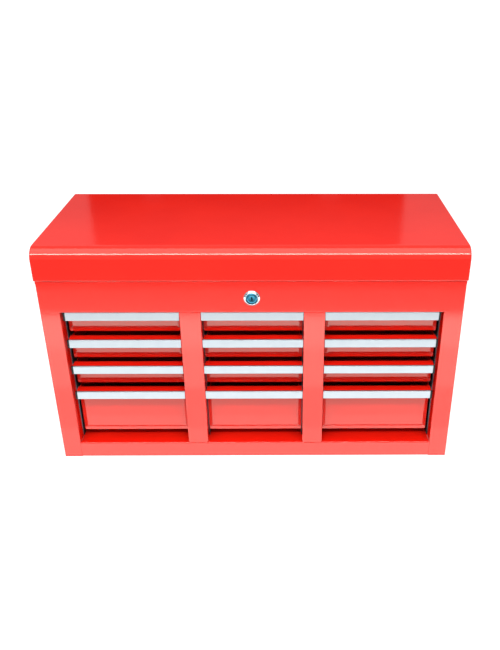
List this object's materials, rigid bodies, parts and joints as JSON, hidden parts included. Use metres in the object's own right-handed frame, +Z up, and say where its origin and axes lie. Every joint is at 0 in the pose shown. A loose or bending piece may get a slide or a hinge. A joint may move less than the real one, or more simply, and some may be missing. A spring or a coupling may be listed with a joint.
{
  "type": "tool chest",
  "caption": "Steel top tool chest: lift-up lid on gas struts over an open compartment, key lock, and columns of shallow and deep drawers with full-width pulls.",
  "frame": {"origin": "on the ground under the middle of the chest's bounding box", "axes": "+X to the chest's right as seen from its front, +Y to its back (the drawers open towards -Y), +Z up"},
  "size_m": [0.622, 0.2672, 0.345],
  "materials": {
    "red_enamel": "glossy stoved enamel, fine orange peel",
    "pull_aluminium": "satin anodised",
    "zinc_steel": "zinc plated",
    "chrome_steel": "polished plate",
    "black_enamel": "satin black"
  },
  "bodies": {
    "cabinet": {"base_pan": "red_enamel", "side_left": "red_enamel", "side_right": "red_enamel", "back_panel": "red_enamel", "front_fascia": "red_enamel", "mullion_left": "red_enamel", "mullion_right": "red_enamel", "compartment_floor": "red_enamel", "slide_rack_left_a": "zinc_steel", "slide_rack_left_b": "zinc_steel", "slide_rack_middle_a": "zinc_steel", "slide_rack_middle_b": "zinc_steel", "slide_rack_right_a": "zinc_steel", "slide_rack_right_b": "zinc_steel", "hinge_leaf_cabinet": "zinc_steel", "hinge_pin": "zinc_steel", "lock_barrel": "chrome_steel", "lock_nut": "zinc_steel", "handle_plate_left": "chrome_steel", "handle_plate_right": "chrome_steel", "strut_bracket_cabinet_left": "zinc_steel", "strut_bracket_cabinet_right": "zinc_steel"},
    "lid": {"lid_shell": "red_enamel", "hinge_leaf_lid": "zinc_steel", "lid_catch": "zinc_steel", "strut_bracket_lid_left": "zinc_steel", "strut_bracket_lid_right": "zinc_steel"},
    "strut_tube_left": {"strut_tube_left": "black_enamel"},
    "strut_rod_left": {"strut_rod_left": "chrome_steel"},
    "strut_tube_right": {"strut_tube_right": "black_enamel"},
    "strut_rod_right": {"strut_rod_right": "chrome_steel"},
    "drawer_left_1": {"drawer_left_1": "red_enamel", "pull_left_1": "pull_aluminium"},
    "drawer_left_2": {"drawer_left_2": "red_enamel", "pull_left_2": "pull_aluminium"},
    "drawer_left_3": {"drawer_left_3": "red_enamel", "pull_left_3": "pull_aluminium"},
    "drawer_left_4": {"drawer_left_4": "red_enamel", "pull_left_4": "pull_aluminium"},
    "drawer_middle_1": {"drawer_middle_1": "red_enamel", "pull_middle_1": "pull_aluminium"},
    "drawer_middle_2": {"drawer_middle_2": "red_enamel", "pull_middle_2": "pull_aluminium"},
    "drawer_middle_3": {"drawer_middle_3": "red_enamel", "pull_middle_3": "pull_aluminium"},
    "drawer_middle_4": {"drawer_middle_4": "red_enamel", "pull_middle_4": "pull_aluminium"},
    "drawer_right_1": {"drawer_right_1": "red_enamel", "pull_right_1": "pull_aluminium"},
    "drawer_right_2": {"drawer_right_2": "red_enamel", "pull_right_2": "pull_aluminium"},
    "drawer_right_3": {"drawer_right_3": "red_enamel", "pull_right_3": "pull_aluminium"},
    "drawer_right_4": {"drawer_right_4": "red_enamel", "pull_right_4": "pull_aluminium"},
    "handle_left": {"handle_bail_left": "chrome_steel"},
    "handle_right": {"handle_bail_right": "chrome_steel"},
    "lock_core": {"lock_plug": "chrome_steel", "lock_cam": "zinc_steel"}
  },
  "joints": [
    {"name": "lid_hinge", "type": "hinge", "parent": "cabinet", "child": "lid", "pos_m": [0, 0.1332, 0.29765], "axis": [-1, 0, 0], "range_deg": [0, 95]},
    {"name": "strut_swing_left", "type": "hinge", "parent": "cabinet", "child": "strut_tube_left", "pos_m": [-0.278, 0, 0.274], "axis": [-1, 0, 0], "range_deg": [0, 7.86]},
    {"name": "strut_stroke_left", "type": "slide", "parent": "strut_tube_left", "child": "strut_rod_left", "axis": [0, 0.9233, 0.384], "range_m": [0, 0.0414]},
    {"name": "strut_swing_right", "type": "hinge", "parent": "cabinet", "child": "strut_tube_right", "pos_m": [0.278, 0, 0.274], "axis": [-1, 0, 0], "range_deg": [0, 7.86]},
    {"name": "strut_stroke_right", "type": "slide", "parent": "strut_tube_right", "child": "strut_rod_right", "axis": [0, 0.9233, 0.384], "range_m": [0, 0.0414]},
    {"name": "slide_left_1", "type": "slide", "parent": "cabinet", "child": "drawer_left_1", "axis": [0, -1, 0], "range_m": [0, 0.18]},
    {"name": "slide_left_2", "type": "slide", "parent": "cabinet", "child": "drawer_left_2", "axis": [0, -1, 0], "range_m": [0, 0.18]},
    {"name": "slide_left_3", "type": "slide", "parent": "cabinet", "child": "drawer_left_3", "axis": [0, -1, 0], "range_m": [0, 0.18]},
    {"name": "slide_left_4", "type": "slide", "parent": "cabinet", "child": "drawer_left_4", "axis": [0, -1, 0], "range_m": [0, 0.18]},
    {"name": "slide_middle_1", "type": "slide", "parent": "cabinet", "child": "drawer_middle_1", "axis": [0, -1, 0], "range_m": [0, 0.18]},
    {"name": "slide_middle_2", "type": "slide", "parent": "cabinet", "child": "drawer_middle_2", "axis": [0, -1, 0], "range_m": [0, 0.18]},
    {"name": "slide_middle_3", "type": "slide", "parent": "cabinet", "child": "drawer_middle_3", "axis": [0, -1, 0], "range_m": [0, 0.18]},
    {"name": "slide_middle_4", "type": "slide", "parent": "cabinet", "child": "drawer_middle_4", "axis": [0, -1, 0], "range_m": [0, 0.18]},
    {"name": "slide_right_1", "type": "slide", "parent": "cabinet", "child": "drawer_right_1", "axis": [0, -1, 0], "range_m": [0, 0.18]},
    {"name": "slide_right_2", "type": "slide", "parent": "cabinet", "child": "drawer_right_2", "axis": [0, -1, 0], "range_m": [0, 0.18]},
    {"name": "slide_right_3", "type": "slide", "parent": "cabinet", "child": "drawer_right_3", "axis": [0, -1, 0], "range_m": [0, 0.18]},
    {"name": "slide_right_4", "type": "slide", "parent": "cabinet", "child": "drawer_right_4", "axis": [0, -1, 0], "range_m": [0, 0.18]},
    {"name": "handle_lift_left", "type": "hinge", "parent": "cabinet", "child": "handle_left", "pos_m": [-0.3055, 0, 0.22], "axis": [0, 1, 0], "range_deg": [0, 90]},
    {"name": "handle_lift_right", "type": "hinge", "parent": "cabinet", "child": "handle_right", "pos_m": [0.3055, 0, 0.22], "axis": [0, -1, 0], "range_deg": [0, 90]},
    {"name": "lock_turn", "type": "hinge", "parent": "cabinet", "child": "lock_core", "pos_m": [0, -0.1285, 0.272], "axis": [0, 1, 0], "range_deg": [0, 90]}
  ],
  "couplings": [
    {"joint": "strut_swing_left", "follows": "lid_hinge", "ratio": 0.08217},
    {"joint": "strut_stroke_left", "follows": "lid_hinge", "m_per_rad": 0.024878},
    {"joint": "strut_swing_right", "follows": "lid_hinge", "ratio": 0.08217},
    {"joint": "strut_stroke_right", "follows": "lid_hinge", "m_per_rad": 0.024878}
  ]
}
